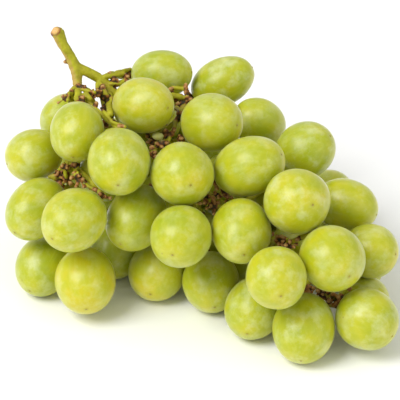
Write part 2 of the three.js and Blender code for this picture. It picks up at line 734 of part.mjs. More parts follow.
// The stem as one solid. A pocket that is sealed in where twigs meet is filled, and a crumb dropped.
function stemSolid(bars) {
  const solids = bars.map((line, i) => {
    const parts = line.findIndex((spot) => spot.sharp);
    const soft = parts < 0 ? line : line.slice(0, parts);
    const spots = [...thinOut(soft, BAR_TOLERANCE), ...(parts < 0 ? [] : line.slice(parts))];
    const points = spots.map((spot) => spot.point);
    const radii = spots.map((spot) => spot.radius);
    return sweep(points, radii, i ? STEM_SIDES : PEDUNCLE_SIDES);
  });
  const pieces = wasm.Manifold.union(solids).simplify(0.05).decompose();
  const bodies = pieces.filter((piece) => piece.volume() > CRUMB);
  if (bodies.length > 1) throw new Error("the stem is in " + bodies.length + " pieces");
  return bodies[0];
}

// A solid as a geometry that three.js draws with flat faces.
function geometryOf(solid) {
  const { vertProperties, triVerts, numProp, numVert } = solid.getMesh();
  const positions = new Float32Array(3 * numVert);
  for (let i = 0; i < numVert; i++) {
    positions.set(vertProperties.subarray(i * numProp, i * numProp + 3), 3 * i);
  }
  const geometry = new THREE.BufferGeometry();
  geometry.setAttribute("position", new THREE.BufferAttribute(positions, 3));
  geometry.setIndex(new THREE.BufferAttribute(triVerts, 1));
  return geometry;
}

const rachis = RACHIS.map(place);
const core = new THREE.CatmullRomCurve3(rachis.slice(CORE_START), false, "centripetal");
const berries = [...SEEN_BERRIES.map(seenBerry), ...hiddenBerries(core)];
settle(berries, core);

const leaves = [
  ...berries.map((berry, index) => ({ end: stemEnd(berry), tip: berry.tip, index, load: 1 })),
  ...BARE_KNOBS.map(({ at, tip, size = 1 }, i) => ({
    end: place(at),
    tip: direction(tip),
    index: berries.length + i,
    load: 0.3,
    bare: true,
    size,
  })),
];
for (const leaf of leaves) leaf.base = leaf.end.clone().addScaledVector(leaf.tip, -PEDICEL_START);
const FULL_LOAD = leaves.reduce((sum, leaf) => sum + leaf.load, 0);
const tree = makeTrunk(rachis, BRANCHES);
const missed = growStem(tree, leaves, makeCells(berries));
if (missed.length) throw new Error("no way to the stem for " + missed.join(" "));
smoothStem(tree, berries);

const berryColour = new THREE.MeshStandardMaterial({ color: 0xb3bf4a, roughness: 0.4 });
const stemColour = new THREE.MeshStandardMaterial({ color: 0x8f8a45, roughness: 0.8 });
const bunch = new THREE.Group();
bunch.name = "grape_bunch";
const stem = new THREE.Mesh(geometryOf(stemSolid(stemBars(tree, berries))), stemColour);
stem.name = "stem";
bunch.add(stem);
berries.forEach((berry, i) => {
  const mesh = new THREE.Mesh(geometryOf(berrySolid(berry)), berryColour);
  mesh.name = "berry_" + String(i + 1).padStart(2, "0");
  bunch.add(mesh);
});
const extent = new THREE.Box3().setFromObject(bunch);
const middle = extent.getCenter(new THREE.Vector3());
for (const mesh of bunch.children) mesh.geometry.translate(-middle.x, -middle.y, -extent.min.z);

export default bunch;
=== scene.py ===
"""The looks of a bunch of white table grapes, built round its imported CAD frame."""

import math

import bpy
import numpy as np
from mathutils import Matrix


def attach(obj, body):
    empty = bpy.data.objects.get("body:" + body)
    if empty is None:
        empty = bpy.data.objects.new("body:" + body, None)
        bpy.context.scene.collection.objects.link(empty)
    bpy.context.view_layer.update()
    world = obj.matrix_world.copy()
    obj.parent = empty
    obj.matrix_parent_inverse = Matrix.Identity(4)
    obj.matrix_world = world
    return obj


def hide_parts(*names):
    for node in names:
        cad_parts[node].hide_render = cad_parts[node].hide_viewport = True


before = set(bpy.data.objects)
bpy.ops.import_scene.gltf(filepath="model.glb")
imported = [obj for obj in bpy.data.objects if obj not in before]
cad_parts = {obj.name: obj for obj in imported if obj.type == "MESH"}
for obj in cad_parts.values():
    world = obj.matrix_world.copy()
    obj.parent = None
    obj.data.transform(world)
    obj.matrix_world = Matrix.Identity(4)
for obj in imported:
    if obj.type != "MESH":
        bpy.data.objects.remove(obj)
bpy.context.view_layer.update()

MM = 0.001

# The view: straight along +Y, looking down, at a point inside the bunch.
VIEW_TILT = math.radians(32)
VIEW_DISTANCE = 0.9
VIEW_MIDDLE = np.array([0.0002, -0.00825, 0.04])
VIEW_WIDTH = 0.154  # across the picture, at the view's middle
SENSOR_WIDTH = 36
RIGHT = np.array([1, 0, 0])
UPWARD = np.array([0, math.sin(VIEW_TILT), math.cos(VIEW_TILT)])
NEARER = np.array([0, -math.cos(VIEW_TILT), math.sin(VIEW_TILT)])

# Floor and light, in metres and watts.
FLOOR_HALF = 6
FLOOR_DROP = 0.0002  # leaves room for the skin that stands proud of the solids
WORLD_STRENGTH = 0.6
LIGHT_AIM = (0, 0, 0.03)

BERRIES = 54

# How the solid of a berry is made, in mm.
SOCKET_DEPTH = 2.8  # under the stem end
SOCKET_SHORT = (0.45, 0.62)  # least and most of the short edges on the socket's floor
SOCKET_LONG = (0.95, 1.12)  # and of the long ones
PLUMP = 1.02  # of the solid's flat-sided rings, over the oval
WIDEST = 24  # corners of the widest ring

# How a berry differs from a plain oval, in mm.
SKIN_PROUD = 0.14  # the berries press together, so the gap between the solids closes
AROUND = 56  # points in a ring
ALONG = 44  # rings from end to end
CROWDING = 0.13  # how much closer together those are at both ends
FIRST_RING = 0.02  # one more ring, in radians from the stem end
SCAR_RINGS = (0.012, 0.028, 0.046, 0.07)  # and some more at the scar, from the tip
EGG = (-0.03, 0.02)  # share by which the stem end is fuller: least and most
WAVE = (0.04, 0.13)  # height of each slow wave round it: least and most
UNEVEN = 0.1  # height of the noise
UNEVEN_SIZE = 5.5
DIMPLE = (0.35, 2.6)  # depth and reach, round the stem end
TIP_RISE = (0.16, 1.5)  # height and reach, round the scar
TIP_PIT = (0.3, 0.42)  # depth and reach of the scar
TOUCHING = 0.45  # a berry that comes this close to the table lies on it
RESTING_SINK = 0.25  # how far such a berry's lowest point is pressed in
FLAT_EDGE = 0.12  # how soft the edge of its flat spot is

# Ripeness of the berries that are plainly yellower or greener than the rest, from 0 to 1.
RIPENESS = {
    1: 0.35, 2: 0.35, 3: 0.45, 5: 0.4, 7: 0.75, 8: 0.12, 9: 0.3, 10: 0.25, 12: 0.4,
    15: 0.4, 16: 0.4, 17: 0.45, 18: 0.6, 23: 0.5, 24: 0.45, 27: 0.4,
}

# The stem, in mm.
VOXEL = 0.34
SMOOTHING = [0.5, -0.52] * 12  # steps forth and back
STEM_KEPT = 0.54  # share of the triangles that the thinning of the fine mesh leaves
STEM_PROUD = 0.1  # makes up for what the solid's flat sides cut off
STEM_ROUGH = 0.1  # height of the noise
RECEPTACLE_BACK = 1.1  # from a berry's end to the ring of warts in front of it
RING_RADIUS = 1.75  # of the warts round a receptacle, and round a knob of size 1
STUB_RADIUS = 0.52  # share of a stub's width
# Warts in a ring, and the size of one.
RECEPTACLE_WARTS = (9, 0.5)
KNOB_WARTS = (7, 0.6)
STUB_WARTS = (6, 0.36)
# A knob without its berry has dried and drawn in: by how much, and how far round it.
KNOB_SHRINK = 0.34
KNOB_REACH = 3.3
# How far the brown bark goes: round a receptacle, and round a knob of size 1.
RECEPTACLE_BROWN = 3.2
KNOB_BROWN = 2.6
# What a seat's depth costs for each mm, beside its mm off the line, and what a berry in front does.
DEPTH_COST = 0.12
HIDDEN_COST = 100
# Knobs whose berries are gone: how far right and up of the view's middle, and how near, then the
# way that each points, and its size.
BARE_KNOBS = [
    ((-52.7, 38.6, -9.5), (-0.7, -0.6, 0.4), 1.0),
    ((-44.0, 43.6, -14.4), (0.6, 0.3, 0.7), 0.7),
    ((-41.2, 40.4, -13), (0.4, -0.4, 0.8), 1.0),
    ((-39.2, 40.4, -15.5), (0, -0.7, 0.7), 1.0),
    ((-36.9, 43.2, -17.6), (0.7, -0.2, 0.6), 0.7),
    ((-36.8, 34.6, -17), (-0.2, -0.4, 0.9), 1.0),
    ((-36.6, 29.0, -14), (-0.1, -0.3, 0.9), 1.0),
    ((-32.8, 29.6, -19), (0.4, -0.2, 0.9), 0.8),
    ((-33.4, 46.6, -22), (0.1, 0.9, 0.3), 0.8),
    ((-54.7, 10.5, -8), (-0.3, 0.3, 0.9), 1.0),
    ((-50.8, 7.5, -6), (0.2, -0.5, 0.8), 1.0),
    ((-52.6, 13.4, -3.5), (-0.5, 0.5, 0.7), 0.8),
    ((-46.6, 8.4, 4), (0.3, -0.5, 0.8), 0.8),
    ((-13.4, 26.0, -10), (-0.2, 0.5, 0.8), 1.0),
    ((-7.0, 23.8, -10), (0.4, 0.2, 0.9), 1.0),
    ((-15.4, 21.2, -8), (-0.4, -0.3, 0.8), 1.0),
    ((-18.9, 22.7, -13), (-0.4, 0.2, 0.9), 0.8),
    ((-18.2, 17.0, -4), (-0.1, -0.5, 0.8), 0.8),
    ((-8.5, 36.0, -24), (0.1, 0.2, 0.9), 0.9),
    ((-3.8, 39.6, -26), (0.3, 0.7, 0.5), 1.0),
    ((5.2, -1.8, 4), (0.3, 0.1, 0.9), 1.0),
    ((1.9, 1.9, -1.5), (-0.3, 0.3, 0.9), 0.8),
    ((10.0, 3.9, -2.5), (0.4, 0.4, 0.8), 0.8),
    ((31.0, -15.5, 12), (-0.3, 0.6, 0.7), 1.0),
    ((34.6, -17.7, 15), (0.5, 0.1, 0.8), 0.8),
    ((46.5, -35.5, 12), (0.1, -0.2, 0.9), 1.0),
    ((50.3, -34.0, 14), (0.5, 0.2, 0.8), 0.8),
]
# Small warty scars and stubs that sit on the stem's twigs: how far right and up of the view's
# middle, and how wide. Each sits where the stem passes nearest to that line of sight.
STUBS = [
    # under the fork and the shoulder
    (-54.7, 37.3, 0.6), (-49.7, 42.2, 1.0), (-46.6, 44.3, 1.1), (-44.4, 43.6, 0.6),
    (-45.4, 39.3, 1.2), (-42.0, 39.7, 1.0), (-40.6, 39.7, 1.1), (-38.9, 40.0, 0.8),
    (-37.7, 43.5, 0.8), (-37.0, 39.3, 1.0), (-35.2, 39.7, 1.0), (-35.8, 37.3, 0.9),
    (-39.7, 37.3, 1.0), (-33.1, 43.1, 0.9), (-33.5, 47.7, 0.6), (-34.6, 49.1, 0.5),
    (-32.0, 46.2, 0.9), (-28.1, 45.8, 0.5), (-37.3, 34.6, 1.0), (-35.0, 31.2, 0.9),
    (-33.1, 28.9, 1.0), (-31.2, 28.5, 0.7), (-30.0, 28.5, 0.6),
    # in the gap on the right of the upper berries
    (-11.2, 43.1, 0.9), (-10.8, 42.0, 0.8), (-10.0, 40.8, 0.8), (-9.6, 38.9, 1.0),
    (-8.5, 37.3, 1.0), (-6.9, 37.3, 1.1), (-5.0, 38.1, 0.9), (-3.9, 38.9, 0.9), (-8.9, 35.4, 0.8),
    (-7.7, 34.3, 0.8), (-8.5, 33.5, 1.1), (-7.7, 32.3, 1.0), (-9.2, 30.0, 0.7), (-10.0, 26.9, 0.8),
    (-13.5, 26.9, 1.4), (-10.4, 25.4, 1.2), (-11.6, 23.9, 0.9), (-6.9, 23.5, 1.4),
    (-12.7, 21.9, 1.2), (-14.6, 20.0, 1.2), (-16.2, 21.2, 1.0), (-17.7, 21.9, 1.0),
    (-18.5, 20.4, 1.0), (-20.4, 24.6, 1.2), (-19.2, 23.1, 1.0), (-17.3, 18.5, 1.0),
    (-16.9, 16.6, 1.0), (-19.2, 5.8, 0.8),
    # in the gap on the left
    (-54.7, 10.4, 1.3), (-53.1, 13.1, 0.7), (-57.4, 8.9, 0.6), (-51.6, 10.0, 1.1),
    (-50.8, 12.3, 0.9), (-48.1, 13.5, 1.3), (-49.3, 13.5, 1.0), (-46.6, 13.5, 1.0),
    (-48.5, 10.4, 1.0), (-46.6, 9.2, 0.7), (-46.6, 7.7, 0.9), (-49.7, 8.5, 1.1), (-45.0, 7.7, 1.3),
    (-43.9, 6.9, 1.0), (-49.7, 6.2, 1.3), (-47.0, 6.2, 0.7), (-47.7, 5.0, 0.8), (-44.7, 5.0, 0.7),
    (-42.4, 4.6, 0.8), (-40.4, 3.9, 0.8), (-38.5, 2.7, 0.7), (-37.0, 1.5, 0.8), (-36.2, 1.2, 1.0),
    (-34.3, 0.8, 0.9), (-53.1, 8.5, 0.6),
    # in the gaps along the middle
    (5.4, 6.5, 0.9), (6.5, 4.2, 1.2), (5.8, 2.7, 1.2), (9.2, 1.9, 1.1), (10.8, 1.2, 1.2),
    (11.9, 1.2, 0.9), (10.0, -0.4, 0.8), (5.4, 0.4, 1.1), (4.2, -2.3, 1.2), (6.5, -2.7, 0.9),
    (5.4, -3.9, 0.9), (1.9, -0.8, 1.1), (0.4, -1.2, 0.8), (2.3, -3.1, 0.8), (5.4, -5.4, 0.8),
    (7.3, -0.8, 1.0), (3.9, 1.2, 0.9), (7.3, 1.2, 1.0), (32.7, -14.6, 1.1), (31.2, -14.2, 0.8),
    (32.0, -15.8, 0.9), (31.6, -17.3, 0.9), (33.1, -17.3, 0.9), (37.3, -15.4, 1.0),
    (37.3, -16.9, 0.9), (36.2, -17.7, 1.0), (28.9, -15.4, 1.1), (29.6, -13.9, 0.9),
    (28.1, -12.7, 0.8), (30.0, -16.9, 1.0), (34.6, -15.8, 1.0), (38.1, -14.6, 0.7),
    # in the gap at the tail
    (47.7, -34.6, 1.2), (45.4, -35.0, 0.8), (47.4, -36.6, 0.9), (51.2, -36.2, 1.2),
    (53.1, -37.3, 1.2), (54.3, -36.6, 0.9), (52.4, -39.7, 1.0), (50.8, -38.5, 0.9),
    (42.0, -33.5, 1.1), (57.8, -33.9, 1.1), (49.3, -35.4, 1.0), (41.6, -31.6, 0.9),
    (43.9, -33.9, 1.2), (45.0, -35.0, 1.1), (47.4, -37.7, 1.1), (49.7, -38.9, 1.1),
    (51.2, -40.4, 1.1), (42.4, -32.0, 1.1),
    # fuller knobs in the two upper gaps
    (-5.4, 44.3, 1.0), (-5.2, 43.1, 1.1), (-5.0, 42.0, 1.1), (-5.2, 40.8, 1.0), (-7.3, 40.4, 1.0),
    (-6.5, 39.3, 1.0), (-7.3, 33.5, 0.9), (-41.6, 40.8, 1.1), (-40.4, 39.7, 1.1),
    (-41.6, 38.9, 1.0), (-36.2, 39.7, 1.1), (-35.4, 38.1, 1.1), (-45.0, 39.7, 0.9),
    (-37.3, 43.7, 0.9), (-40.0, 36.6, 1.0), (-37.7, 34.3, 1.0), (-28.5, 50.1, 1.0),
    (-28.1, 47.7, 1.2), (-32.7, 43.9, 0.9), (-34.3, 48.9, 0.6), (-33.1, 46.6, 0.9),
    (-11.6, 42.0, 1.0), (-20.0, 22.3, 1.1), (-18.9, 20.4, 1.0), (-4.6, 38.9, 1.0),
    (-8.9, 31.6, 1.1), (-7.3, 23.9, 1.2),
]
# Short side twigs: how far right and up of the view's middle both ends are, and the radius.
TWIGS = [
    ((-10.4, 43.3), (-6.5, 42.9), 0.75),
    ((-5.4, 44.3), (-5.4, 41.2), 0.8),
    ((-6.2, 37.0), (-3.5, 38.9), 0.7),
    ((-9.2, 35.8), (-7.3, 34.3), 0.75),
    ((-9.2, 30.8), (-10.0, 26.9), 0.8),
    ((-12.3, 22.3), (-10.8, 26.2), 0.75),
    ((-16.9, 21.9), (-14.6, 20.4), 0.8),
    ((-37.0, 33.9), (-33.9, 30.0), 0.7),
    ((-33.9, 30.0), (-28.9, 28.1), 0.65),
    ((-53.9, 11.9), (-52.4, 14.2), 0.7),
    ((-52.0, 11.2), (-51.6, 8.9), 0.75),
    ((-57.8, 8.9), (-55.1, 9.6), 0.8),
    ((-47.0, 10.4), (-46.6, 7.7), 0.7),
    ((-43.9, 5.8), (-39.3, 3.5), 0.7),
    ((-39.3, 3.5), (-37.0, 1.5), 0.65),
    ((5.0, 1.2), (5.8, -1.2), 0.75),
    ((9.2, 1.9), (10.8, 1.2), 0.7),
    ((31.2, -13.9), (33.5, -15.0), 0.7),
    ((51.2, -36.2), (53.1, -37.3), 0.75),
    ((-44.3, 42.2), (-40.8, 41.4), 0.9),
    ((-37.3, 42.4), (-35.8, 40.0), 1.0),
    ((-47.0, 42.0), (-47.4, 38.9), 1.2),
    ((-50.4, 41.2), (-50.8, 38.5), 0.7),
    ((-39.5, 44.7), (-39.5, 40.0), 0.85),
    ((-34.3, 44.7), (-30.4, 44.7), 0.8),
    ((-36.2, 47.5), (-29.6, 48.7), 0.95),
    ((-32.0, 49.1), (-26.9, 50.2), 0.8),
    ((-43.9, 40.8), (-42.4, 38.9), 1.0),
    ((-35.4, 41.6), (-33.9, 38.1), 1.1),
    ((-35.0, 37.0), (-34.6, 33.1), 1.2),
    ((-10.8, 40.2), (-7.3, 39.7), 1.2),
    ((-6.9, 35.2), (-6.2, 36.6), 1.0),
    ((-56.2, 8.5), (-53.9, 6.5), 1.2),
    ((-49.3, 0.0), (-48.1, -2.3), 1.3),
    ((-5.0, 39.7), (-8.5, 38.1), 0.9),
    ((-53.5, 5.4), (-50.8, 4.2), 1.0),
]
# Fuller parts of the peduncle, the fork and the shoulder: a place in the view, and the radius
# there. The first is the peduncle's end, which is worn round.
FULLER = [
    ((-55.0, 64.4, -16), 2.45), ((-54.7, 63.7, -16.2), 2.25), ((-53.9, 61.6, -16.6), 1.95),
    ((-52.6, 59.3, -17.2), 1.85), ((-51.5, 57.8, -17.6), 1.9), ((-50.3, 55.8, -18.2), 2.0),
    ((-49.3, 53.9, -18.8), 2.15), ((-48.2, 51.2, -19.4), 2.2), ((-47.7, 49.0, -19.2), 1.9),
    ((-47.5, 46.6, -18.8), 1.6), ((-47.4, 44.7, -18.0), 1.6),
]
# A berry that never grew, 4.6 mm long: how far right and up of the view's middle, and its radius.
SHOT_BERRY = (-16.2, 24.6, 1.5)
# Places in the view, on the peduncle and the shoulder.
CUT_END = (-55.1, 65.5, -16)
CUT_FACE = (-56.0, 65.6, -14.2)  # the middle of the cut
WOODY_JOINT = (-35.0, 43.5, -18)
PEDUNCLE_KNEE = (-46.6, 50.4, -20)
PEDUNCLE_BUD = (-51.9, 53.2, -18.4)  # a scar on its left


def linear(code):
    """An sRGB hex colour as linear red, green, blue and full alpha."""
    shares = [int(code[i : i + 2], 16) / 255 for i in (1, 3, 5)]
    light = [s / 12.92 if s <= 0.04045 else ((s + 0.055) / 1.055) ** 2.4 for s in shares]
    return (*light, 1.0)


def add(tree, kind, links=None, **settings):
    """Adds a node with its settings. Links gives inputs a value, or the output that drives it."""
    node = tree.nodes.new(kind)
    for name, value in settings.items():
        setattr(node, name, value)
    for name, value in (links or {}).items():
        if isinstance(value, bpy.types.NodeSocket):
            tree.links.new(value, node.inputs[name])
        else:
            node.inputs[name].default_value = value
    return node


def new_material(name):
    """A material, its tree, its shader, and the place on the object in metres."""
    material = bpy.data.materials.new(name)
    material.use_nodes = True
    tree = material.node_tree
    place_on = add(tree, "ShaderNodeTexCoord").outputs["Object"]
    return material, tree, tree.nodes["Principled BSDF"], place_on


def attribute(tree, name, kind="Fac"):
    """One of the mesh's own attributes, as a number or as a vector."""
    return add(tree, "ShaderNodeAttribute", attribute_name=name).outputs[kind]


def noise(tree, where, size, detail, roughness=0.5):
    """Soft noise from 0 to 1, with waves of that size in metres."""
    links = {"Vector": where, "Scale": 1 / size, "Detail": detail, "Roughness": roughness}
    return add(tree, "ShaderNodeTexNoise", links).outputs["Fac"]


def dots(tree, where, size):
    """Distance to the nearest of many random dots, as a share of their spacing in metres."""
    links = {"Vector": where, "Scale": 1 / size}
    return add(tree, "ShaderNodeTexVoronoi", links).outputs["Distance"]


def ranged(tree, value, start, end, at_start, at_end, **settings):
    """A number that goes from at_start to at_end while the value goes from start to end."""
    links = {
        "Value": value, "From Min": start, "From Max": end, "To Min": at_start, "To Max": at_end,
    }
    return add(tree, "ShaderNodeMapRange", links, **settings).outputs["Result"]


def reckoned(tree, operation, one, other, **settings):
    """Two numbers put together by an operation."""
    return add(
        tree, "ShaderNodeMath", {0: one, 1: other}, operation=operation, **settings
    ).outputs[0]


def laid_over(tree, share, under, over):
    """A colour under another that covers that share of it."""
    links = {"Factor": share, "A": under, "B": over}
    return add(tree, "ShaderNodeMix", links, data_type="RGBA").outputs["Result"]


def colour_ramp(tree, share, stops):
    """A colour read from two or more stops of position and sRGB hex colour."""
    node = add(tree, "ShaderNodeValToRGB", {"Fac": share})
    elements = node.color_ramp.elements
    first, *between, last = stops
    # a new ramp has a stop at each end
    for element, (position, code) in ((elements[0], first), (elements[1], last)):
        element.position = position
        element.color = linear(code)
    for position, code in between:
        elements.new(position).color = linear(code)
    return node.outputs["Color"]


def bumps(tree, height, strength, distance, under=None):
    """A normal tilted by bumps of a height in metres, over the bumps of another normal."""
    links = {"Height": height, "Strength": strength, "Distance": distance}
    if under is not None:
        links["Normal"] = under
    return add(tree, "ShaderNodeBump", links).outputs["Normal"]


def place(spot):
    """A place in the view as metres in space: the view narrows towards the eye."""
    right, up, near = (MM * value for value in spot)
    narrowing = 1 - near / VIEW_DISTANCE
    return VIEW_MIDDLE + narrowing * (right * RIGHT + up * UPWARD) + near * NEARER


def direction(spot):
    """A way in the view as a unit vector in space."""
    way = spot[0] * RIGHT + spot[1] * UPWARD + spot[2] * NEARER
    return way / np.linalg.norm(way)


def cloud(points, size, seed):
    """Smooth noise from -1 to 1: random values at a lattice's nodes, eased between them."""
    values = np.random.default_rng(seed).uniform(-1, 1, (32, 32, 32))
    spot = np.asarray(points) / size + 100
    cell = np.floor(spot).astype(int)
    share = spot - cell
    share = share * share * (3 - 2 * share)
    total = np.zeros(len(spot))
    for corner in np.ndindex(2, 2, 2):
        x, y, z = ((cell + corner) % 32).T
        weight = np.prod(np.where(corner, share, 1 - share), axis=1)
        total += weight * values[x, y, z]
    return total


def triangles_of(node):
    """The corners of a CAD node's triangles, in metres, as triangle, corner, coordinate."""
    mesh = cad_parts[node].data
    mesh.calc_loop_triangles()
    points = np.empty(3 * len(mesh.vertices))
    mesh.vertices.foreach_get("co", points)
    corners = np.empty(3 * len(mesh.loop_triangles), int)
    mesh.loop_triangles.foreach_get("vertices", corners)
    return points.reshape(-1, 3)[corners].reshape(-1, 3, 3)


def oval_of(node):
    """Middle, tip direction, half length and half width of the oval that a solid stands for.

    The middle is the centroid of the volume. The socket's floor is a fan of twelve thin triangles,
    and its middle is the socket's depth under the stem end.
    """
    corners = triangles_of(node) / MM
    a, b, c = corners[:, 0], corners[:, 1], corners[:, 2]
    share = np.einsum("ij,ij->i", a, np.cross(b, c))
    middle = ((a + b + c) * share[:, None]).sum(0) / (4 * share.sum())
    edges = np.linalg.norm(corners - np.roll(corners, 1, axis=1), axis=2)
    short, long = edges.min(1), edges.max(1)
    thin = (long < SOCKET_LONG[1]) & (long > SOCKET_LONG[0])
    thin &= (short > SOCKET_SHORT[0]) & (short < SOCKET_SHORT[1])
    floor = corners[thin].reshape(-1, 3).mean(0)
    stemward = floor - middle
    depth = np.linalg.norm(stemward)
    stemward /= depth
    points = corners.reshape(-1, 3) - middle
    sideways = np.linalg.norm(points - np.outer(points @ stemward, stemward), axis=1)
    width = np.median(np.sort(sideways)[-WIDEST:]) / PLUMP
    return middle, -stemward, depth + SOCKET_DEPTH, width


def square_to(way):
    """Two unit vectors square to a direction and to each other."""
    other = np.array([1.0, 0, 0]) if abs(way[2]) > 0.8 else np.array([0, 0, 1.0])
    first = np.cross(way, other)
    first /= np.linalg.norm(first)
    return first, np.cross(way, first)


def closed_grid(rows, columns):
    """Faces of a surface with a pole at each end: rows of points round it, then the two poles."""
    row, column = np.meshgrid(np.arange(rows - 1), np.arange(columns), indexing="ij")
    here = row * columns + column
    after = row * columns + (column + 1) % columns
    quads = np.stack([here, after, after + columns, here + columns], axis=-1).reshape(-1, 4)
    ring = np.arange(columns)
    next_ring = (ring + 1) % columns
    first = np.stack([np.full(columns, rows * columns), next_ring, ring], axis=-1)
    end = (rows - 1) * columns
    last = np.stack([np.full(columns, rows * columns + 1), end + ring, end + next_ring], axis=-1)
    return quads.tolist() + first.tolist() + last.tolist()


def mesh_piece(name, points, faces, attributes, material):
    """A smooth mesh object at the origin, with its attributes on the points."""
    mesh = bpy.data.meshes.new(name)
    mesh.from_pydata(points.tolist(), [], faces)
    for key, values in attributes.items():
        kind, slot = ("FLOAT_VECTOR", "vector") if np.ndim(values) == 2 else ("FLOAT", "value")
        layer = mesh.attributes.new(key, kind, "POINT")
        layer.data.foreach_set(slot, np.ravel(values).astype(np.float32))
    mesh.shade_smooth()
    mesh.materials.append(material)
    piece = bpy.data.objects.new(name, mesh)
    bpy.context.scene.collection.objects.link(piece)
    return piece


def berry_surface(node, number):
    """Points, faces and attributes of a berry's skin.

    With t from 0 at the stem end to pi at the tip, and s round it, the surface is an oval: half
    length times cos t along the berry, and half width times sin t away from its line. It is then
    made a little blunter or finer at one end, uneven by a few slow waves and soft noise, dimpled
    round the stem end, and dented round the tip with the dry scar of the flower standing in it.
    """
    draw = np.random.default_rng(100 + number)
    middle, tip, half_length, half_width = oval_of(node)
    t = np.linspace(0, 1, ALONG + 2)[1:-1]
    t = math.pi * t - CROWDING * np.sin(2 * math.pi * t)
    t = np.concatenate([[FIRST_RING], t, math.pi - np.array(SCAR_RINGS)])
    t = np.unique(np.sort(t))
    s = np.linspace(0, 2 * math.pi, AROUND, endpoint=False)
    t_all, s_all = np.meshgrid(t, s, indexing="ij")
    t_all = np.concatenate([t_all.ravel(), [0, math.pi]])
    s_all = np.concatenate([s_all.ravel(), [0, 0]])

    egg = draw.uniform(*EGG)
    radius = (half_width + SKIN_PROUD) * np.sin(t_all) * (1 + egg * np.cos(t_all))
    height = (half_length + SKIN_PROUD) * np.cos(t_all)
    # slow waves round the berry, which fade out at the poles
    phases = draw.uniform(0, 2 * math.pi, 3)
    sizes = draw.uniform(*WAVE, 3)
    for fold, (phase, size) in enumerate(zip(phases, sizes), start=2):
        radius += size * np.sin(t_all) ** 2 * np.cos(fold * s_all + phase + 0.6 * np.cos(t_all))
    from_tip = half_width * (math.pi - t_all)
    from_stem = half_width * t_all
    height -= DIMPLE[0] * np.exp(-((from_stem / DIMPLE[1]) ** 2))
    height += TIP_RISE[0] * np.exp(-((from_tip / TIP_RISE[1]) ** 2))
    height -= TIP_PIT[0] * np.exp(-((from_tip / TIP_PIT[1]) ** 4))

    first, second = square_to(-tip)
    points = (
        middle
        - np.outer(height, tip)
        + np.outer(radius * np.cos(s_all), first)
        + np.outer(radius * np.sin(s_all), second)
    )
    outward = points - middle
    outward /= np.linalg.norm(outward, axis=1)[:, None]
    points += outward * UNEVEN * cloud(points, UNEVEN_SIZE, 40)[:, None]
    low = points[:, 2].min()
    if low < TOUCHING:
        # a berry that lies on the table is pressed flat there
        under = np.clip((middle[2] - points[:, 2]) / (middle[2] - low), 0, 1)
        points[:, 2] -= (low + RESTING_SINK) * under**2
        points[:, 2] = 0.5 * (points[:, 2] + np.sqrt(points[:, 2] ** 2 + FLAT_EDGE**2))
    own = np.stack([radius * np.cos(s_all), radius * np.sin(s_all), height], axis=-1) * MM
    ripe = RIPENESS.get(number, draw.uniform(0.15, 0.55))
    attributes = {
        "own": own,
        "from_tip": from_tip,
        "ripe": np.full(len(points), ripe),
        "bloomy": np.full(len(points), draw.uniform(0.0, 1.0)),
    }
    return points * MM, closed_grid(len(t), AROUND), attributes


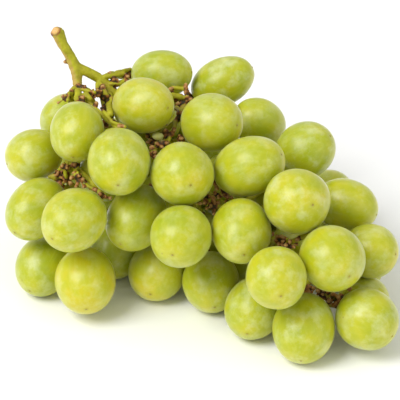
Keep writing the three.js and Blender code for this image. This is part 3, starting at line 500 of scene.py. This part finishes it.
def grape_skin():
    """Skin of a white table grape: thin see-through skin on watery flesh, dusted with its own wax.

    It grew like this. The wax, or bloom, is a pale dull film that handling has rubbed off in
    patches. Where it is gone the skin is glossy. Light goes a few mm deep into the flesh, so edges
    and the side away from the light stay a clear yellow green, and riper skin turns yellow, most of
    all near the tip.
    """
    material, tree, shader, place_on = new_material("grape_skin_with_bloom")
    own = attribute(tree, "own", "Vector")
    from_tip, ripe, bloomy = (attribute(tree, name) for name in ("from_tip", "ripe", "bloomy"))

    # blotches of riper skin, about 7 mm across
    blotch = ranged(tree, noise(tree, place_on, 0.007, 3), 0.35, 0.68, -0.22, 0.3)
    # the end round the tip ripens first
    end = ranged(tree, from_tip, 2.0, 9.0, 0.22, 0.0, interpolation_type="SMOOTHSTEP")
    riper = reckoned(tree, "ADD", ripe, blotch)
    riper = reckoned(tree, "ADD", riper, end, use_clamp=True)
    stops = [(0.0, "#A4B01A"), (0.45, "#B5B914"), (0.75, "#C1BF18"), (1.0, "#C9BF15")]
    colour = colour_ramp(tree, riper, stops)

    # veins in the flesh run from end to end, about 1.7 mm apart, and show faintly
    stretch = {"Vector": own, "Scale": (1 / 0.0017, 1 / 0.0017, 1 / 0.012)}
    stretched = add(tree, "ShaderNodeMapping", stretch).outputs["Vector"]
    vein = ranged(tree, noise(tree, stretched, 1, 2), 0.44, 0.66, 0.0, 0.15)
    colour = laid_over(tree, vein, colour, linear("#D3D87C"))
    # pores: pale dots 0.3 mm across, about 1.1 mm apart
    pore = ranged(tree, dots(tree, place_on, 0.0011), 0.08, 0.2, 0.14, 0.0)
    colour = laid_over(tree, pore, colour, linear("#D9DB80"))
    # freckles: brown specks 0.7 mm across, about 8.5 mm apart
    speck = ranged(tree, dots(tree, place_on, 0.0085), 0.025, 0.06, 0.5, 0.0)
    colour = laid_over(tree, speck, colour, linear("#8E7A26"))
    # bloom: patches about 6.5 mm across, broken up by finer ones
    most_wax = 0.25
    wax = ranged(tree, noise(tree, place_on, 0.0065, 6, 0.62), 0.48, 0.67, 0.0, most_wax)
    wax = reckoned(tree, "MULTIPLY", wax, ranged(tree, bloomy, 0.0, 1.0, 0.7, 1.3))
    colour = laid_over(tree, wax, colour, linear("#E8EED2"))
    # the dry scar of the flower at the tip, 0.8 mm across, in a darker ring
    ring = ranged(tree, from_tip, 0.5, 1.3, 0.45, 0.0)
    colour = laid_over(tree, ring, colour, linear("#A39A25"))
    scar = ranged(tree, from_tip, 0.3, 0.52, 0.62, 0.0)
    colour = laid_over(tree, scar, colour, linear("#8A6C2C"))
    tree.links.new(colour, shader.inputs["Base Color"])

    dull = ranged(tree, wax, 0.0, most_wax, 0.4, 0.58)
    tree.links.new(dull, shader.inputs["Roughness"])
    # the skin is faintly uneven every 2.4 mm, and the wax on it every 0.7 mm
    swell = bumps(tree, noise(tree, place_on, 0.0024, 2), 0.5, 0.0002)
    film = bumps(tree, noise(tree, place_on, 0.0007, 2), 0.12, 0.0001, swell)
    tree.links.new(film, shader.inputs["Normal"])
    shader.inputs["IOR"].default_value = 1.5
    shader.inputs["Specular IOR Level"].default_value = 0.28
    shader.inputs["Subsurface Weight"].default_value = 0.85
    shader.inputs["Subsurface Radius"].default_value = (1.0, 0.95, 0.12)
    shader.inputs["Subsurface Scale"].default_value = 0.005
    shader.inputs["Coat Weight"].default_value = 0.85
    shader.inputs["Coat Roughness"].default_value = 0.3
    shader.inputs["Coat IOR"].default_value = 1.36
    shader.inputs["Sheen Weight"].default_value = 0.2
    shader.inputs["Sheen Roughness"].default_value = 0.25
    shader.inputs["Sheen Tint"].default_value = linear("#EEF3DC")
    return material


def stem_bark():
    """Green bark of a grape stem, partly turned to wood.

    It grew like this. Young parts are a matt yellow green with fine fibres, older skin is corky and
    tan, and the swollen ends that carry the berries are reddish brown and covered in warts. The cut
    at the end shows the dry wood.
    """
    material, tree, shader, place_on = new_material("grape_stem_bark")
    names = ("brown", "cork", "raised", "pale", "cut_wood")
    brown, cork, raised, pale, cut_wood = (attribute(tree, name) for name in names)

    # green skin, uneven every 3 mm
    shade = noise(tree, place_on, 0.003, 4, 0.6)
    green = colour_ramp(tree, shade, [(0.3, "#908A04"), (0.72, "#B8B61C")])
    # cork in blotches 1.2 mm across
    grain = noise(tree, place_on, 0.0012, 4, 0.7)
    corky = ranged(tree, reckoned(tree, "ADD", grain, cork), 0.66, 1.0, 0.0, 0.85)
    colour = laid_over(tree, corky, green, linear("#B8984E"))
    # the swollen ends and the scars are brown, with painted shade that makes them nearly black in
    # creases, and tan on the tops of warts, partly a painted highlight
    height = reckoned(tree, "ADD", raised, grain)
    stops = [(0.34, "#1C0C02"), (0.54, "#4C2408"), (0.74, "#9C5E2A"), (1.0, "#BE965C")]
    browner = ranged(tree, reckoned(tree, "ADD", grain, brown), 0.72, 1.1, 0.0, 0.95)
    colour = laid_over(tree, browner, colour, colour_ramp(tree, height, stops))
    # the berry that never grew is a pale grey green
    colour = laid_over(tree, pale, colour, linear("#BDBF78"))
    # the cut at the end has dried to a pale orange tan, with the darker dots of its vessels
    vessel = ranged(tree, dots(tree, place_on, 0.0006), 0.1, 0.4, 0.5, 0.0)
    pith = laid_over(tree, vessel, linear("#E8B676"), linear("#B07A3C"))
    colour = laid_over(tree, cut_wood, colour, pith)
    tree.links.new(colour, shader.inputs["Base Color"])
    # fibres 0.4 mm apart
    fibre = bumps(tree, noise(tree, place_on, 0.0004, 3, 0.7), 0.35, 0.00012)
    tree.links.new(fibre, shader.inputs["Normal"])
    shader.inputs["Roughness"].default_value = 0.62
    shader.inputs["IOR"].default_value = 1.45
    shader.inputs["Subsurface Weight"].default_value = 0.15
    shader.inputs["Subsurface Radius"].default_value = (1.0, 0.8, 0.3)
    shader.inputs["Subsurface Scale"].default_value = 0.0008
    return material


def capsules(starts, ends, radii):
    """Points and faces of closed rods with round ends, one for each start, end and radius.

    A unit sphere is cut in two across its line. One half goes to the start, the other to the end.
    """
    rings = np.radians([25, 55, 90, 90, 125, 155])
    turns = np.radians(np.arange(0, 360, 45))
    t, s = np.meshgrid(rings, turns, indexing="ij")
    ball = np.stack([np.sin(t) * np.cos(s), np.sin(t) * np.sin(s), np.cos(t)], axis=-1)
    ball = np.concatenate([ball.reshape(-1, 3), [[0, 0, 1], [0, 0, -1]]])
    at_end = np.append(np.repeat([True, False], t.size // 2), [True, False])
    way = ends - starts
    length = np.linalg.norm(way, axis=1)[:, None]
    way = np.where(length > 1e-6, way / np.maximum(length, 1e-6), [0, 0, 1])
    other = np.where(np.abs(way[:, 2:]) > 0.8, [1.0, 0, 0], [0, 0, 1.0])
    first = np.cross(way, other)
    first /= np.linalg.norm(first, axis=1)[:, None]
    turn = np.stack([first, np.cross(way, first), way], axis=1)
    middles = np.where(at_end[:, None], ends[:, None], starts[:, None])
    points = radii[:, None, None] * (ball @ turn) + middles
    one = closed_grid(*t.shape)
    faces = []
    for rod in range(len(radii)):
        faces += [[corner + len(ball) * rod for corner in face] for face in one]
    return points.reshape(-1, 3), faces


def wart_rings(middles, ways, radii, warts, draw):
    """Rods that make rings of warts: round each middle, square to its way, lumps of random size.

    Warts gives how many there are in a ring, and their size.
    """
    count, lump = warts
    turn = draw.uniform(0, 2 * math.pi, (len(middles), 1))
    turn = turn + np.linspace(0, 2 * math.pi, count, endpoint=False)
    turn = turn + draw.uniform(-0.15, 0.15, turn.shape)
    first, second = np.stack([square_to(way) for way in ways], axis=1)
    out = radii[:, None] * draw.uniform(0.85, 1.1, turn.shape)
    spots = (
        middles[:, None]
        + (out * np.cos(turn))[..., None] * first[:, None]
        + (out * np.sin(turn))[..., None] * second[:, None]
        + (lump * draw.uniform(-0.9, 0.7, turn.shape))[..., None] * ways[:, None]
    )
    inner = middles[:, None] * 0.6 + spots * 0.4
    sizes = lump * draw.uniform(0.65, 1.3, turn.shape)
    return inner.reshape(-1, 3), spots.reshape(-1, 3), sizes.ravel()


def as_arrays(rods):
    """A list of rods, each a start, an end and a radius, as three arrays."""
    return tuple(np.array(values) for values in zip(*rods))


def clear_of(points, ovals):
    """How far outside the nearest berry each point is, about: the oval's value over its slope."""
    clear = np.full(len(points), 1e9)
    for middle, tip, length, width in ovals:
        off = points - middle
        along = off @ tip
        away = np.linalg.norm(off - along[:, None] * tip, axis=1)
        value = np.maximum(np.hypot(along / length, away / width), 1e-3)
        slope = np.hypot(along / length**2, away / width**2) / value
        clear = np.minimum(clear, (value - 1) / np.maximum(slope, 1e-3))
    return clear


def seat_of(spot, wide, surface, ovals):
    """Where a stub sits on the stem, and the place of its end in front of that.

    The seat is the stem's point that passes nearest to the stub's line of sight, clear of berries
    and as near the eye as can be.
    """
    eye = (VIEW_MIDDLE + VIEW_DISTANCE * NEARER) / MM
    sight = place((*spot, 0)) / MM - eye
    sight /= np.linalg.norm(sight)
    along = (surface - eye) @ sight
    on_line = eye + np.outer(along - 0.5 * wide, sight)
    aside = np.linalg.norm(surface - on_line, axis=1)
    hidden = clear_of(on_line, ovals) < 0.8 * wide + 0.1
    best = np.argmin(aside + DEPTH_COST * along + np.where(hidden, HIDDEN_COST, 0))
    return surface[best], on_line[best]


def even_mesh(node, rods):
    """Points in mm, edges and faces of the solid joined with rods and remeshed into even quads."""
    corners = triangles_of(node).reshape(-1, 3)
    points, index = np.unique(np.round(corners, 7), axis=0, return_inverse=True)
    faces = index.reshape(-1, 3)
    first, second, third = faces.T
    whole = (first != second) & (second != third) & (third != first)
    added, rod_faces = capsules(*rods)
    rod_faces = [[corner + len(points) for corner in face] for face in rod_faces]
    mesh = bpy.data.meshes.new("stem_solid")
    mesh.from_pydata(points.tolist() + (added * MM).tolist(), [], faces[whole].tolist() + rod_faces)
    rough = bpy.data.objects.new("stem_solid", mesh)
    bpy.context.scene.collection.objects.link(rough)
    remesh = rough.modifiers.new("Remesh", "REMESH")
    remesh.mode = "VOXEL"
    remesh.voxel_size = VOXEL * MM
    remesh.adaptivity = 0
    made = rough.evaluated_get(bpy.context.evaluated_depsgraph_get()).to_mesh()
    points = np.empty(3 * len(made.vertices))
    made.vertices.foreach_get("co", points)
    edges = np.empty(2 * len(made.edges), int)
    made.edges.foreach_get("vertices", edges)
    sizes = np.empty(len(made.polygons), int)
    made.polygons.foreach_get("loop_total", sizes)
    around = np.empty(len(made.loops), int)
    made.loops.foreach_get("vertex_index", around)
    faces = [face.tolist() for face in np.split(around, np.cumsum(sizes)[:-1])]
    bpy.data.objects.remove(rough)
    bpy.data.meshes.remove(mesh)
    return points.reshape(-1, 3) / MM, edges.reshape(-1, 2), faces


def eased(points, edges, steps):
    """Points moved by each step's share of the way to the mean of their neighbours.

    A step forth and a slightly longer step back take small bumps away and keep the size.
    """
    count = np.bincount(edges.ravel(), minlength=len(points))
    for share in steps:
        total = np.stack(
            [
                np.bincount(edges[:, 0], points[edges[:, 1], axis], len(points))
                + np.bincount(edges[:, 1], points[edges[:, 0], axis], len(points))
                for axis in range(3)
            ],
            axis=-1,
        )
        points = points + share * (total / count[:, None] - points)
    return points


def outward_of(points, faces):
    """Unit vectors out of the surface at its points, from the normals of a throwaway mesh."""
    mesh = bpy.data.meshes.new("normals")
    mesh.from_pydata(points.tolist(), [], faces)
    normals = np.empty(3 * len(points), np.float32)
    mesh.vertex_normals.foreach_get("vector", normals)
    bpy.data.meshes.remove(mesh)
    return normals.reshape(-1, 3).astype(float)


def drawn_in(points, spots, reaches, share):
    """Points moved by a share towards each spot that they are in reach of, eased to its edge."""
    moved = points.copy()
    for spot, reach in zip(spots, reaches):
        close = np.clip(1.5 - 1.5 * np.linalg.norm(points - spot, axis=1) / reach, 0, 1)
        moved += (spot - points) * (share * close * close * (3 - 2 * close))[:, None]
    return moved


def near_to(points, spots, reaches):
    """How close each point is to some spots: 1 at a spot and 0 at its reach."""
    closest = np.zeros(len(points))
    for spot, reach in zip(spots, reaches):
        closest = np.maximum(closest, 1 - np.sqrt(((points - spot) ** 2).sum(1)) / reach)
    return closest


def stem_surface(ovals):
    """Points, faces and attributes of the stem.

    Rods with round ends are joined to its solid: rings of warts at the ends of its pedicels and on
    its bare knobs, stubs, side twigs, fuller parts of the peduncle, and a berry that never grew.
    The whole surface is made even and smooth, the knobs are drawn in, and the peduncle's end is
    worn round. Each point then moves along its normal by a little noise. How far a point stands
    above the mean of those around it tells the tops of the warts from the creases, where the bark
    gets painted shade.
    """
    draw = np.random.default_rng(21)
    ends = np.array([middle - tip * (length + RECEPTACLE_BACK) for middle, tip, length, _ in ovals])
    tips = np.array([tip for _, tip, _, _ in ovals])
    knob_ways = np.array([direction(way) for _, way, _ in BARE_KNOBS])
    knobs = np.array([place(spot) / MM for spot, _, _ in BARE_KNOBS])
    knobs = knobs - RECEPTACLE_BACK * knob_ways
    knob_sizes = np.array([size for _, _, size in BARE_KNOBS])
    surface = triangles_of("stem").mean(1) / MM
    seats = [seat_of((right, up), width, surface, ovals) for right, up, width in STUBS]
    roots, stubs = (np.array(spots) for spots in zip(*seats))
    widths = np.array([width for _, _, width in STUBS])
    # a stub's warts face away from its root, and a little to the eye
    stub_ways = stubs - roots + 0.3 * NEARER
    stub_ways /= np.linalg.norm(stub_ways, axis=1)[:, None]
    *shot_spot, shot_radius = SHOT_BERRY
    shot_root, shot = seat_of(shot_spot, shot_radius, surface, ovals)
    # a twig runs from the stem to its near end, and on to its far end
    twigs = []
    for one, other, radius in TWIGS:
        root, near_end = seat_of(one, 1.4 * radius, surface, ovals)
        _, far_end = seat_of(other, 1.4 * radius, surface, ovals)
        twigs += [(root, near_end, 0.8 * radius), (near_end, far_end, radius)]
    full = np.array([place(spot) / MM for spot, _ in FULLER])
    full_radii = np.array([radius for _, radius in FULLER])
    peduncle_end, end_radius = full[0], full_radii[0]
    marks = (CUT_END, CUT_FACE, PEDUNCLE_KNEE, PEDUNCLE_BUD, WOODY_JOINT)
    cut, face, knee, bud, joint = (place(spot) / MM for spot in marks)
    corner = cut - 2.0 * RIGHT - 1.5 * UPWARD  # a lump at the cut's lower left
    down = (knee - cut) / np.linalg.norm(knee - cut)
    parts = [
        wart_rings(ends, tips, np.full(len(ends), RING_RADIUS), RECEPTACLE_WARTS, draw),
        wart_rings(knobs, knob_ways, RING_RADIUS * knob_sizes, KNOB_WARTS, draw),
        (roots, stubs, STUB_RADIUS * widths),
        wart_rings(stubs, stub_ways, STUB_RADIUS * widths, STUB_WARTS, draw),
        as_arrays(twigs),
        (full[:-1], full[1:], 0.5 * (full_radii[:-1] + full_radii[1:])),
        as_arrays([
            # the berry that never grew: its stalk, its fat middle and its finer ends
            (shot_root, shot, 0.5),
            (shot - 0.5 * RIGHT, shot + 0.5 * RIGHT, shot_radius),
            (shot - 1.1 * RIGHT, shot + 1.1 * RIGHT, 0.75 * shot_radius),
            # the bud's scar, and the lump at the cut
            (bud + 0.8 * RIGHT, bud, 0.75),
            (cut - 1.6 * RIGHT - 1.2 * UPWARD, corner, 0.6),
        ]),
    ]
    rods = [np.concatenate(values) for values in zip(*parts)]
    points, edges, faces = even_mesh("stem", rods)
    points = eased(points, edges, SMOOTHING)
    points = drawn_in(points, knobs, KNOB_REACH * knob_sizes, KNOB_SHRINK)
    # what stands out of a ball round the peduncle's end is worn down to it, above its middle
    off = points - peduncle_end
    from_end = np.linalg.norm(off, axis=1)
    worn = (from_end > end_radius) & (off @ down < 0.3) & (off @ down > -6)
    points[worn] = peduncle_end + off[worn] * (end_radius / from_end[worn])[:, None]
    normals = outward_of(points, faces)
    rough = cloud(points, 1.5, 3) + 0.5 * cloud(points, 0.8, 4)
    points = points + normals * (STEM_PROUD + STEM_ROUGH * rough)[:, None]

    # brown are the receptacles, knobs and stubs, the bud's scar, and the cut's rim and corner
    swollen = np.maximum(
        near_to(points, ends, np.full(len(ends), RECEPTACLE_BROWN)),
        near_to(points, knobs, KNOB_BROWN * knob_sizes),
    )
    swollen = np.maximum(swollen, near_to(points, stubs, 0.8 + 0.9 * widths))
    brown = np.clip(2.2 * swollen, 0, 1)
    brown = np.clip(brown + 1.4 * near_to(points, [bud - 0.3 * RIGHT], [1.8]), 0, 1)
    from_face = np.linalg.norm(points - face, axis=1)
    from_cut = np.linalg.norm(points - cut, axis=1)
    # the cut's rim is a ring 2.1 mm from the middle of the cut
    rim = np.exp(-(((from_face - 2.1) / 0.5) ** 2)) * (from_cut < 3.4)
    brown = np.clip(brown + 0.75 * rim, 0, 1)
    brown = np.clip(brown + 1.6 * near_to(points, [corner], [1.6]), 0, 1)
    # cork grows in patches and at two old joints; the peduncle's side that faces left is made the
    # same tan
    leftward = np.clip(0.1 - normals @ RIGHT, 0, 1)
    upper = np.clip(1.6 * near_to(points, full, np.full(len(full), 6.0)), 0, 1)
    cork = 0.12 + 0.22 * cloud(points, 4.5, 12) + 0.6 * leftward * upper
    cork += 0.5 * near_to(points, [joint], [4.0]) + 0.3 * near_to(points, [full[-1]], [5.0])
    # how far each point stands above its neighbours: the bark is painted darker in creases as
    # painted shade, and tan on tops, partly as a painted highlight
    raised = ((points - eased(points, edges, [0.6] * 7)) * normals).sum(1)
    pale = 2 * near_to(points, [shot - 0.9 * RIGHT, shot + 0.9 * RIGHT], [2.4, 2.4])
    cut_wood = 3 * near_to(points, [face], [2.2]) * (0.8 + 0.5 * cloud(points, 1.1, 15))
    attributes = {
        "brown": brown,
        "cork": cork,
        "raised": 2.2 * raised + 0.12 * cloud(points, 2.2, 14),
        "pale": np.clip(pale, 0, 1),
        "cut_wood": np.clip(cut_wood, 0, 1),
    }
    return points * MM, faces, attributes


def plain_matt(name, colour, roughness):
    """Painted studio board: rolled on, matt, and so faintly uneven that it looks plain."""
    material, tree, shader, place_on = new_material(name)
    tone = laid_over(tree, noise(tree, place_on, 0.4, 2), linear(colour), linear("#FFFFFF"))
    tree.links.new(tone, shader.inputs["Base Color"])
    shader.inputs["Roughness"].default_value = roughness
    shader.inputs["Specular IOR Level"].default_value = 0.1
    return material


def soft_light(name, spot, aim, size, power):
    """A square soft box at a spot, turned to face its aim."""
    data = bpy.data.lights.new(name, "AREA")
    data.shape = "SQUARE"
    data.size = size
    data.energy = power
    lamp = bpy.data.objects.new(name, data)
    way = np.array(aim) - np.array(spot)
    way = way / np.linalg.norm(way)
    lamp.location = spot
    lamp.rotation_euler = (math.acos(-way[2]), 0, math.atan2(way[1], way[0]) - math.pi / 2)
    bpy.context.scene.collection.objects.link(lamp)


# Camera
lens = bpy.data.cameras.new("camera")
lens.lens = SENSOR_WIDTH * VIEW_DISTANCE / VIEW_WIDTH
lens.sensor_width = SENSOR_WIDTH
lens.clip_end = 20
camera = bpy.data.objects.new("camera", lens)
camera.location = VIEW_MIDDLE + VIEW_DISTANCE * NEARER
camera.rotation_euler = (math.pi / 2 - VIEW_TILT, 0, 0)
bpy.context.scene.collection.objects.link(camera)
bpy.context.scene.camera = camera

# Berries
skin = grape_skin()
ovals = []
for number in range(1, BERRIES + 1):
    node = f"berry_{number:02d}"
    ovals.append(oval_of(node))
    piece = mesh_piece(f"{node}_skin", *berry_surface(node, number), skin)
    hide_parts(node)
    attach(piece, "root")

# Stem
stem = mesh_piece("stem_bark", *stem_surface(ovals), stem_bark())
fewer = stem.modifiers.new("Decimate", "DECIMATE")
fewer.ratio = STEM_KEPT
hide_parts("stem")
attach(stem, "root")

# Floor and light
floor_mesh = bpy.data.meshes.new("floor")
corners = [(-1, -1, 0), (1, -1, 0), (1, 1, 0), (-1, 1, 0)]
floor_mesh.from_pydata([(FLOOR_HALF * x, FLOOR_HALF * y, z) for x, y, z in corners], [], [range(4)])
floor_mesh.materials.append(plain_matt("white_board", "#FAFAF8", 0.9))
floor = bpy.data.objects.new("floor", floor_mesh)
floor.location = (0, 0, -FLOOR_DROP)
bpy.context.scene.collection.objects.link(floor)

world = bpy.data.worlds.new("studio")
world.use_nodes = True
background = world.node_tree.nodes["Background"]
background.inputs["Color"].default_value = linear("#FFFFFF")
background.inputs["Strength"].default_value = WORLD_STRENGTH
bpy.context.scene.world = world
soft_light("key", spot=(-1.1, -0.75, 1.6), aim=LIGHT_AIM, size=1.1, power=33)
soft_light("fill", spot=(1.6, -1.2, 1.0), aim=LIGHT_AIM, size=1.6, power=8)
bpy.context.scene.view_settings.view_transform = "Standard"
